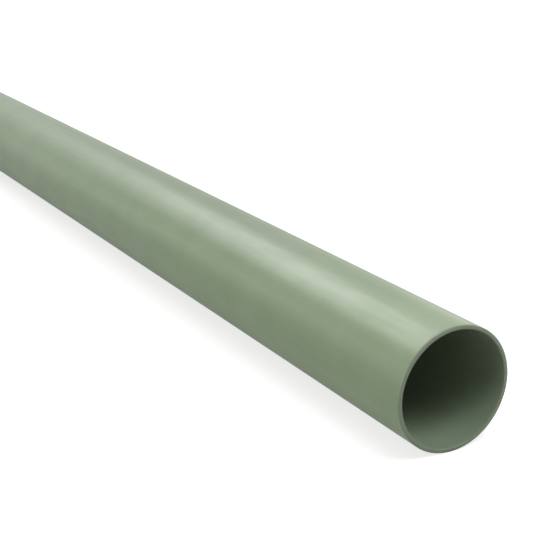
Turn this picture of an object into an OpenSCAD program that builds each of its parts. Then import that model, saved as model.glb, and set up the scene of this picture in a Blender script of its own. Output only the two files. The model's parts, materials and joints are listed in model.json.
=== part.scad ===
// One stick of thin-walled PVC electrical conduit, lying level along the X axis.
// The tube is extruded round, sawn square at both ends and deburred inside and out.

/* [Tube] */
// Diameter over the outside
outside_d = 114.3; // [60:0.1:400]
// Thickness of the wall
wall = 3.8; // [2:0.1:9]
// Length of the stick from one cut end to the other
stick_length = 3000; // [500:10:6000]

/* [Cut ends] */
// Width of the chamfer that breaks the outer edge of each end
outer_chamfer = 0.8; // [0.1:0.1:1.2]
// Width of the chamfer that breaks the edge of the bore at each end
bore_chamfer = 0.4; // [0.1:0.1:0.7]

/* [Hidden] */
// Facets round a drawn circle
$fn = 180;
outer_r = outside_d / 2;
bore_r = outer_r - wall;
half_length = stick_length / 2;

// The wall's edge at one end, from the bore to the outside, as [radius, distance from mid-length].
end_edge = [
    [bore_r, half_length - bore_chamfer],
    [bore_r + bore_chamfer, half_length],
    [outer_r - outer_chamfer, half_length],
    [outer_r, half_length - outer_chamfer]
];

// The same edge at the other end, from the outside back to the bore.
far_edge = [for (i = [len(end_edge) - 1 : -1 : 0]) [end_edge[i].x, -end_edge[i].y]];

// The wall cut lengthwise on one side of the tube's axis.
module wall_section() {
    polygon(concat(end_edge, far_edge));
}

// The section turned round the axis and laid down so that the tube rests on Z = 0.
module conduit() {
    color("darkseagreen")
        translate([0, 0, outer_r])
            rotate([0, 90, 0])
                rotate_extrude()
                    wall_section();
}

conduit();
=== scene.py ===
"""One stick of thin-walled PVC electrical conduit, lying on a white studio floor.

The tube is rolled as an open cylinder, thickened inwards, and deburred at both sawn ends.
Its three finishes are the drawn outside, the bore and the sawn ends.
"""

import json
import math

import bpy
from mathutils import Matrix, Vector


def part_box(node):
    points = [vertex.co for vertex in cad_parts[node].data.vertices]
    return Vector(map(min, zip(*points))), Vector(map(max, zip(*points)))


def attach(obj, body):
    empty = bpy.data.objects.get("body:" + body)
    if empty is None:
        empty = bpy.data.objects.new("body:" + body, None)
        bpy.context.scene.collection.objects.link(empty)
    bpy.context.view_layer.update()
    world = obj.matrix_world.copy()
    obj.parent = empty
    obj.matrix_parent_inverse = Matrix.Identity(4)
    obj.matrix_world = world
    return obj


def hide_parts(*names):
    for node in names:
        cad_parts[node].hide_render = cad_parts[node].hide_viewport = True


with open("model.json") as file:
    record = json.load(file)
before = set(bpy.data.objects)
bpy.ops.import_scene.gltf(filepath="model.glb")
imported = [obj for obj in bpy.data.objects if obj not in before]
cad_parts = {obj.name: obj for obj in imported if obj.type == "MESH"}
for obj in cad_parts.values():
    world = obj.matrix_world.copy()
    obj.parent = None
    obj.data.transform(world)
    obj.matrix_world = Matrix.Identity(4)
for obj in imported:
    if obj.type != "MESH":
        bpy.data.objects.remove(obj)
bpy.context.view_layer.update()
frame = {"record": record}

MM = 0.001

# Sizes of the tube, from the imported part.
LOW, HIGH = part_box("conduit")
LENGTH = HIGH[0] - LOW[0]
HALF_LENGTH = LENGTH / 2
OUTER_R = (HIGH[2] - LOW[2]) / 2
AXIS_HEIGHT = (HIGH[2] + LOW[2]) / 2
BORE = next(mount for mount in frame["record"]["mounts"] if mount["name"] == "bore")
BORE_R = BORE["dims"]["r_mm"] * MM
WALL = OUTER_R - BORE_R

# How far the deburring tool rounds the edges of a sawn end, how much deeper it bites in
# places, and how far along the edge one bite reaches.
OUTER_BREAK = 0.8 * MM
BORE_BREAK = 0.4 * MM
BREAK_WAVER = 0.12 * MM
BREAK_WAVER_LENGTH = 9 * MM

# Fineness of the tube's mesh. The rings are even in number, so two of them meet at mid-length.
SIDES = 192
RINGS = 180
BREAK_STEPS = 3

# Distance from each end to the cut that keeps the wall's shading straight up to the rounding.
HOLDING_CUT = 2 * MM

# Places closer together than this count as one.
TOUCHING = 0.01 * MM

# Faces that meet at less than this angle are shaded as one curved surface.
SMOOTH_ANGLE = math.radians(35)

# Material slots of the bore and of the sawn ends. The outside keeps the first slot, number 0.
INSIDE, SAWN = 1, 2

# Colours of the plastic: darkest and palest outside; in the bore the same plastic, painted paler
# and greyer as painted light inside it; and where a saw has roughened it.
SAGE_DARK = (0.188, 0.257, 0.144, 1)
SAGE_PALE = (0.220, 0.288, 0.170, 1)
BORE_DARK_PAINTED_LIT = (0.226, 0.284, 0.200, 1)
BORE_PALE_PAINTED_LIT = (0.254, 0.316, 0.224, 1)
SAWN_GREEN = (0.190, 0.230, 0.160, 1)
SAWN_PALE = (0.265, 0.300, 0.225, 1)

# Most values of a noise pattern lie between these two.
NOISE_LOW = 0.3
NOISE_HIGH = 0.7

# The camera's place, the way it looks, its lens and sensor in millimetres, and the nearest
# and farthest distance that it sees.
CAMERA_PLACE = (2.2166, -0.5839, 0.4658)
CAMERA_GAZE = (-0.8206, 0.4729, -0.3209)
LENS = 77.59
SENSOR_WIDTH = 36
NEAREST_SEEN = 0.01
FARTHEST_SEEN = 300

WHITE = (1, 1, 1, 1)

# The floor round the tube. Close to the tube it glows less, so that its shadow shows there,
# and less again where the tube mirrors it, which paints shade into the tube's reflection of the
# floor. Each glow rises to white between two distances from the tube.
FLOOR_GREY = (0.5, 0.5, 0.5, 1)
FLOOR_SIZE = 400
FLOOR_BY_TUBE = 0.72
FLOOR_WHITENS = (0.15, 0.6)
FLOOR_MIRRORED = 0.28
MIRRORED_WHITENS = (0.4, 8)

# Share of its whiteness that the room sends onto surfaces as light.
ROOM_LIGHT = 0.15

# Height of the spots on the tube that the lamps are aimed at.
AIM_HEIGHT = 0.1


# ---- Camera ----

def turned_towards(direction):
    """Rotation of a camera or lamp that points this way, with its top side up."""
    return direction.to_track_quat("-Z", "Y").to_euler()


def add_camera():
    """Looks down past the near end and along the tube, from the side that faces -Y."""
    data = bpy.data.cameras.new("camera")
    data.sensor_width = SENSOR_WIDTH
    data.lens = LENS
    data.clip_start = NEAREST_SEEN
    data.clip_end = FARTHEST_SEEN
    camera = bpy.data.objects.new("camera", data)
    camera.location = CAMERA_PLACE
    camera.rotation_euler = turned_towards(Vector(CAMERA_GAZE))
    bpy.context.scene.collection.objects.link(camera)
    bpy.context.scene.camera = camera


# ---- Selecting by place ----

def off_axis(place):
    """Distance of a point from the tube's axis."""
    return math.hypot(place.y, place.z - AXIS_HEIGHT)


def from_end(place):
    """Distance of a point from the plane of the nearer sawn end."""
    return HALF_LENGTH - abs(place.x)


def by_edge(place, radius, reach):
    """True within reach of the edge of this radius at a sawn end."""
    return from_end(place) < reach and abs(off_axis(place) - radius) < reach


def on_bore(corners):
    return all(off_axis(p) < BORE_R + TOUCHING for p in corners)


def on_sawn_end(corners):
    """True on the flat of a sawn end and on its broken edges."""
    return all(from_end(p) < OUTER_BREAK + TOUCHING for p in corners)


def edit_with(mesh, kind, wanted):
    """Opens the mesh in edit mode with only the wanted edges or faces selected."""
    bpy.ops.object.mode_set(mode="EDIT")
    bpy.ops.mesh.select_mode(type=kind)
    bpy.ops.mesh.select_all(action="DESELECT")
    bpy.ops.object.mode_set(mode="OBJECT")
    items = mesh.edges if kind == "EDGE" else mesh.polygons
    for item in items:
        item.select = wanted([mesh.vertices[i].co for i in item.vertices])
    bpy.ops.object.mode_set(mode="EDIT")


def finish_editing():
    bpy.ops.object.mode_set(mode="OBJECT")


# ---- The tube ----

def roll_outside():
    """The outside wall, open at both ends, along X and resting on Z = 0."""
    bpy.ops.object.select_all(action="DESELECT")
    bpy.ops.mesh.primitive_cylinder_add(
        vertices=SIDES,
        radius=OUTER_R,
        depth=LENGTH,
        end_fill_type="NOTHING",
        location=(0, 0, AXIS_HEIGHT),
        rotation=(0, math.pi / 2, 0),
    )
    tube = bpy.context.active_object
    tube.name = "conduit_tube"
    bpy.ops.object.transform_apply(location=True, rotation=True, scale=True)
    return tube


def cut_into_rings(tube):
    """Splits the lengthwise edges evenly, so that the wall is made of short rings."""
    edit_with(tube.data, "EDGE", lambda ends: abs(ends[0].x - ends[1].x) > HALF_LENGTH)
    bpy.ops.mesh.subdivide(number_cuts=RINGS - 1)
    finish_editing()


def hold_ends_straight(tube):
    """Cuts round the tube once more, close to each end."""
    for end in (-1, 1):
        edit_with(tube.data, "FACE", lambda corners: True)
        cut = end * (HALF_LENGTH - HOLDING_CUT)
        bpy.ops.mesh.bisect(plane_co=(cut, 0, 0), plane_no=(1, 0, 0))
        finish_editing()


def thicken_inwards(tube):
    wall = tube.modifiers.new("wall", "SOLIDIFY")
    wall.thickness = WALL
    wall.offset = -1
    bpy.ops.object.modifier_apply(modifier=wall.name)


def break_edge(tube, radius, width):
    """Rounds the sharp edge of this radius at both sawn ends."""
    edit_with(tube.data, "EDGE", lambda ends: all(by_edge(p, radius, TOUCHING) for p in ends))
    bpy.ops.mesh.bevel(offset=width, segments=BREAK_STEPS, affect="EDGES")
    finish_editing()


def close_up(tube):
    """Merges doubled points and turns every face outwards."""
    edit_with(tube.data, "FACE", lambda corners: True)
    bpy.ops.mesh.remove_doubles(threshold=TOUCHING)
    bpy.ops.mesh.normals_make_consistent(inside=False)
    finish_editing()


def mark_breaks(tube):
    """Groups the points of the rounded edges, without those where they meet the flat and the walls."""
    marked = tube.vertex_groups.new(name="deburred")
    for vertex in tube.data.vertices:
        at_outside = by_edge(vertex.co, OUTER_R, OUTER_BREAK - TOUCHING)
        at_bore = by_edge(vertex.co, BORE_R, BORE_BREAK - TOUCHING)
        if at_outside or at_bore:
            marked.add([vertex.index], 1, "REPLACE")
    return marked


def waver_breaks(tube):
    """Lets the hand-held deburring tool bite a little deeper in places, never proud of the wall."""
    bite = bpy.data.textures.new("deburring_bite", "CLOUDS")
    bite.noise_scale = BREAK_WAVER_LENGTH
    waver = tube.modifiers.new("waver", "DISPLACE")
    waver.texture = bite
    waver.vertex_group = mark_breaks(tube).name
    waver.strength = -BREAK_WAVER
    waver.mid_level = 0
    bpy.ops.object.modifier_apply(modifier=waver.name)


def assign_finish(tube, slot, wanted):
    edit_with(tube.data, "FACE", wanted)
    tube.active_material_index = slot
    bpy.ops.object.material_slot_assign()
    finish_editing()


def dress(tube):
    """Puts the three finishes on, each where it belongs."""
    for material in (outside_pvc(), bore_pvc(), sawn_pvc()):
        tube.data.materials.append(material)
    assign_finish(tube, INSIDE, on_bore)
    assign_finish(tube, SAWN, on_sawn_end)


def make_tube():
    tube = roll_outside()
    cut_into_rings(tube)
    hold_ends_straight(tube)
    thicken_inwards(tube)
    break_edge(tube, OUTER_R, OUTER_BREAK)
    break_edge(tube, BORE_R, BORE_BREAK)
    close_up(tube)
    waver_breaks(tube)
    dress(tube)
    bpy.ops.object.shade_smooth_by_angle(angle=SMOOTH_ANGLE)
    return tube


# ---- Shader parts ----

def feed(tree, node, inputs):
    """Links or fills a node's inputs, each called by its name or number."""
    for key, value in inputs.items():
        if isinstance(value, bpy.types.NodeSocket):
            tree.links.new(value, node.inputs[key])
        else:
            node.inputs[key].default_value = value


def add_node(tree, kind, inputs, **options):
    node = tree.nodes.new("ShaderNode" + kind)
    for name, value in options.items():
        setattr(node, name, value)
    feed(tree, node, inputs)
    return node


def calculate(tree, operation, a, b=0):
    return add_node(tree, "Math", {0: a, 1: b}, operation=operation).outputs[0]


def mix_colors(tree, factor, first, second):
    """Goes from the first colour to the second as the factor goes from 0 to 1."""
    colors = {"Factor": factor, 6: first, 7: second}
    return add_node(tree, "Mix", colors, data_type="RGBA").outputs[2]


def spread(tree, value, low, high, to_low=0, to_high=1):
    """Stretches the values between low and high over the new range, and levels off past it."""
    limits = {"Value": value, "From Min": low, "From Max": high, "To Min": to_low, "To Max": to_high}
    return add_node(tree, "MapRange", limits).outputs[0]


def spread_noise(tree, noise, to_low=0, to_high=1):
    """Stretches a noise pattern's usual values over the new range."""
    return spread(tree, noise, NOISE_LOW, NOISE_HIGH, to_low, to_high)


def object_place(tree):
    return add_node(tree, "TexCoord", {}).outputs["Object"]


def grain(tree, per_metre, detail, roughness=0.5):
    """Noise with this many lumps to the metre, alike in every direction."""
    inputs = {"Vector": object_place(tree), "Scale": per_metre, "Detail": detail, "Roughness": roughness}
    return add_node(tree, "TexNoise", inputs).outputs[0]


def raise_bump(tree, height, depth, over=None):
    """Raises a height of 0 to 1 by a depth in metres, on top of the bumps that another normal gives."""
    inputs = {"Height": height, "Distance": depth, "Strength": 1}
    if over:
        inputs["Normal"] = over
    return add_node(tree, "Bump", inputs).outputs["Normal"]


def new_material(name):
    material = bpy.data.materials.new(name)
    material.use_nodes = True
    return material, material.node_tree, material.node_tree.nodes["Principled BSDF"]


def new_group(name, inputs, outputs):
    """An empty node group. Both lists hold pairs of a socket's name and its type."""
    group = bpy.data.node_groups.new(name, "ShaderNodeTree")
    for socket, kind in inputs:
        group.interface.new_socket(name=socket, in_out="INPUT", socket_type="NodeSocket" + kind)
    for socket, kind in outputs:
        group.interface.new_socket(name=socket, in_out="OUTPUT", socket_type="NodeSocket" + kind)
    return group, group.nodes.new("NodeGroupInput").outputs, group.nodes.new("NodeGroupOutput")


def use_group(tree, name, **values):
    """Places a shared effect in a material or in another group and returns its output."""
    node = add_node(tree, "Group", {}, node_tree=bpy.data.node_groups[name])
    feed(tree, node, values)
    return node.outputs[0]


def drawn_marks_group():
    """Marks drawn out along the tube as it left the die: noise, long along X and narrow across it."""
    tree, given, out = new_group(
        "drawn_marks",
        [("Length", "Float"), ("Width", "Float"), ("Shift", "Float")],
        [("Mask", "Float")],
    )
    along = calculate(tree, "DIVIDE", 1, given["Length"])
    across = calculate(tree, "DIVIDE", 1, given["Width"])
    stretch = add_node(tree, "CombineXYZ", {"X": along, "Y": across, "Z": across}).outputs[0]
    drawn = {0: object_place(tree), 1: stretch, 2: given["Shift"]}
    place = add_node(tree, "VectorMath", drawn, operation="MULTIPLY_ADD").outputs[0]
    noise = add_node(tree, "TexNoise", {"Vector": place, "Scale": 1, "Detail": 2, "Roughness": 0.5})
    tree.links.new(noise.outputs[0], out.inputs["Mask"])


def pigment_group():
    """The plastic's colour: cloudy where the pigment is uneven, and streaked where it was drawn."""
    tree, given, out = new_group(
        "pigment",
        [("Dark", "Color"), ("Pale", "Color"), ("Streaks", "Float")],
        [("Color", "Color")],
    )
    cloud = spread_noise(tree, grain(tree, per_metre=16, detail=3, roughness=0.55))
    streak = use_group(tree, "drawn_marks", Length=0.35, Width=0.006, Shift=3)
    pull = calculate(tree, "MULTIPLY", calculate(tree, "SUBTRACT", streak, 0.5), given["Streaks"])
    share = calculate(tree, "ADD", cloud, pull)
    color = mix_colors(tree, share, given["Dark"], given["Pale"])
    tree.links.new(color, out.inputs["Color"])


# ---- The three finishes ----

def outside_pvc():
    """The calibrated outside: satin, gently uneven, with faint drawn lines and a fine orange peel."""
    material, tree, shader = new_material("pvc_outside")
    waves = use_group(tree, "drawn_marks", Length=0.085, Width=0.03, Shift=0)
    lines = use_group(tree, "drawn_marks", Length=0.07, Width=0.0045, Shift=7)
    peel = grain(tree, per_metre=900, detail=1)
    color = use_group(tree, "pigment", Dark=SAGE_DARK, Pale=SAGE_PALE, Streaks=0.45)
    roughness = spread_noise(tree, lines, to_low=0.34, to_high=0.42)
    wavy = raise_bump(tree, waves, depth=0.25 * MM)
    lined = raise_bump(tree, lines, depth=0.016 * MM, over=wavy)
    normal = raise_bump(tree, peel, depth=0.004 * MM, over=lined)
    feed(tree, shader, {"Base Color": color, "Roughness": roughness, "Normal": normal})
    return material


def bore_pvc():
    """The bore: the same plastic, smoother and more rippled, because no sleeve has sized it, and painted
    paler and greyer than the outside as painted light inside it.
    """
    material, tree, shader = new_material("pvc_bore")
    waves = use_group(tree, "drawn_marks", Length=0.16, Width=0.018, Shift=11)
    lines = use_group(tree, "drawn_marks", Length=0.2, Width=0.003, Shift=13)
    # The bore's paler, greyer colours are painted light inside the tube, not a different plastic.
    color = use_group(tree, "pigment", Dark=BORE_DARK_PAINTED_LIT, Pale=BORE_PALE_PAINTED_LIT, Streaks=0.3)
    roughness = spread_noise(tree, lines, to_low=0.32, to_high=0.4)
    rippled = raise_bump(tree, waves, depth=0.2 * MM)
    normal = raise_bump(tree, lines, depth=0.006 * MM, over=rippled)
    feed(tree, shader, {"Base Color": color, "Roughness": roughness, "Normal": normal})
    return material


def sawn_pvc():
    """A sawn end: paler and rougher, with the saw's fine marks straight across the tube."""
    material, tree, shader = new_material("pvc_sawn")
    marks = {
        "Vector": object_place(tree),
        "Scale": 240,
        "Distortion": 2.5,
        "Detail": 2,
        "Detail Scale": 1.5,
    }
    teeth = add_node(tree, "TexWave", marks, wave_type="BANDS", bands_direction="Z")
    torn = grain(tree, per_metre=700, detail=3)
    whitened = spread(tree, torn, low=0.45, high=0.75, to_high=0.6)
    color = mix_colors(tree, whitened, SAWN_GREEN, SAWN_PALE)
    roughness = spread_noise(tree, torn, to_low=0.5, to_high=0.65)
    scored = raise_bump(tree, teeth.outputs["Fac"], depth=0.02 * MM)
    normal = raise_bump(tree, torn, depth=0.03 * MM, over=scored)
    feed(tree, shader, {"Base Color": color, "Roughness": roughness, "Normal": normal})
    return material


# ---- Floor, world and lamps ----

def distance_from_tube(tree):
    """Level distance of a point on the floor from the tube, past its end or beside its axis."""
    place = add_node(tree, "SeparateXYZ", {0: object_place(tree)}).outputs
    past_end = calculate(tree, "SUBTRACT", calculate(tree, "ABSOLUTE", place["X"]), HALF_LENGTH)
    aside = calculate(tree, "ABSOLUTE", place["Y"])
    return calculate(tree, "MAXIMUM", past_end, aside)


def floor_glow(tree):
    """How strongly the floor glows: as it is shown, and more faintly as the tube mirrors it, a painted
    shade in that reflection.
    """
    distance = distance_from_tube(tree)
    path = add_node(tree, "LightPath", {}).outputs
    seen = calculate(tree, "MAXIMUM", path["Is Camera Ray"], path["Is Transmission Ray"])
    bright = spread(tree, distance, *FLOOR_WHITENS, FLOOR_BY_TUBE, 1)
    painted_shade_in_mirror = spread(tree, distance, *MIRRORED_WHITENS, FLOOR_MIRRORED, 1)
    shown = calculate(tree, "MULTIPLY", seen, bright)
    mirrored = calculate(tree, "MULTIPLY", path["Is Glossy Ray"], painted_shade_in_mirror)
    return calculate(tree, "ADD", shown, mirrored)


def lay_floor():
    """A pale floor that shows as white, and grey only in the tube's own soft shadow."""
    bpy.ops.object.select_all(action="DESELECT")
    bpy.ops.mesh.primitive_plane_add(size=FLOOR_SIZE)
    floor = bpy.context.active_object
    floor.name = "floor"
    material, tree, shader = new_material("pale_floor")
    feed(tree, shader, {"Base Color": FLOOR_GREY, "Roughness": 1, "Specular IOR Level": 0})
    feed(tree, shader, {"Emission Color": WHITE, "Emission Strength": floor_glow(tree)})
    floor.data.materials.append(material)


def seen_directly(tree):
    """1 for what the camera, a reflection or a clear material shows, and 0 for light on a surface."""
    path = add_node(tree, "LightPath", {}).outputs
    shown = calculate(tree, "MAXIMUM", path["Is Camera Ray"], path["Is Glossy Ray"])
    return calculate(tree, "MAXIMUM", shown, path["Is Transmission Ray"])


def surround_with_white():
    """A white room: it shows as white, and lights the tube a little from everywhere."""
    world = bpy.data.worlds.new("white_room")
    world.use_nodes = True
    tree = world.node_tree
    strength = spread(tree, seen_directly(tree), low=0, high=1, to_low=ROOM_LIGHT)
    feed(tree, tree.nodes["Background"], {"Color": WHITE, "Strength": strength})
    bpy.context.scene.world = world


def hang_lamp(name, place, aim, width, height, brightness):
    """A soft rectangular lamp, turned towards the tube where X is the aim.

    Its brightness is that of its face, where 1 is white.
    """
    data = bpy.data.lights.new(name, "AREA")
    data.shape = "RECTANGLE"
    data.size = width
    data.size_y = height
    data.energy = math.pi * width * height * brightness
    lamp = bpy.data.objects.new(name, data)
    lamp.location = place
    lamp.rotation_euler = turned_towards(Vector((aim, 0, AIM_HEIGHT)) - Vector(place))
    lamp.visible_camera = False
    bpy.context.scene.collection.objects.link(lamp)


def light_studio():
    """Large lamps over and beside the tube, and small ones by its near end, which light the bore."""
    surround_with_white()
    hang_lamp("over_far_half", (-1.38, -0.27, 2.29), aim=0.4, width=2.03, height=1.28, brightness=5.7)
    hang_lamp("over_shoulder", (0, 0.65, 1.3), aim=1.4, width=1, height=0.6, brightness=1.3)
    hang_lamp("overhead", (1.81, 0.04, 0.74), aim=1.48, width=0.46, height=0.28, brightness=5.6)
    hang_lamp("overhead_steep", (1.7, 0, 0.75), aim=1.48, width=0.43, height=0.22, brightness=1.8)
    hang_lamp("before_near_end", (3.8, -0.6, 0.7), aim=1.4, width=1.6, height=1, brightness=0.66)
    hang_lamp("across_near_end", (1.93, 0.45, 0.6), aim=1.45, width=0.5, height=0.36, brightness=2.8)
    hang_lamp("beside_near_half", (1.15, -1.9, 0.4), aim=1.2, width=1.25, height=0.75, brightness=5)
    hang_lamp("beside_far_half", (-1.7, -2, 0.8), aim=-1.2, width=1.8, height=1, brightness=1.2)
    hang_lamp("behind_near_half", (1, 2.2, 0.8), aim=0.9, width=1.8, height=0.9, brightness=1)
    hang_lamp("behind_far_half", (-0.9, 2.7, 0.9), aim=-1.2, width=1.8, height=1, brightness=1.3)


# ---- Build ----

bpy.context.scene.view_settings.view_transform = "Standard"
add_camera()
drawn_marks_group()
pigment_group()
tube = make_tube()
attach(tube, "root")
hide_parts("conduit")
lay_floor()
light_studio()
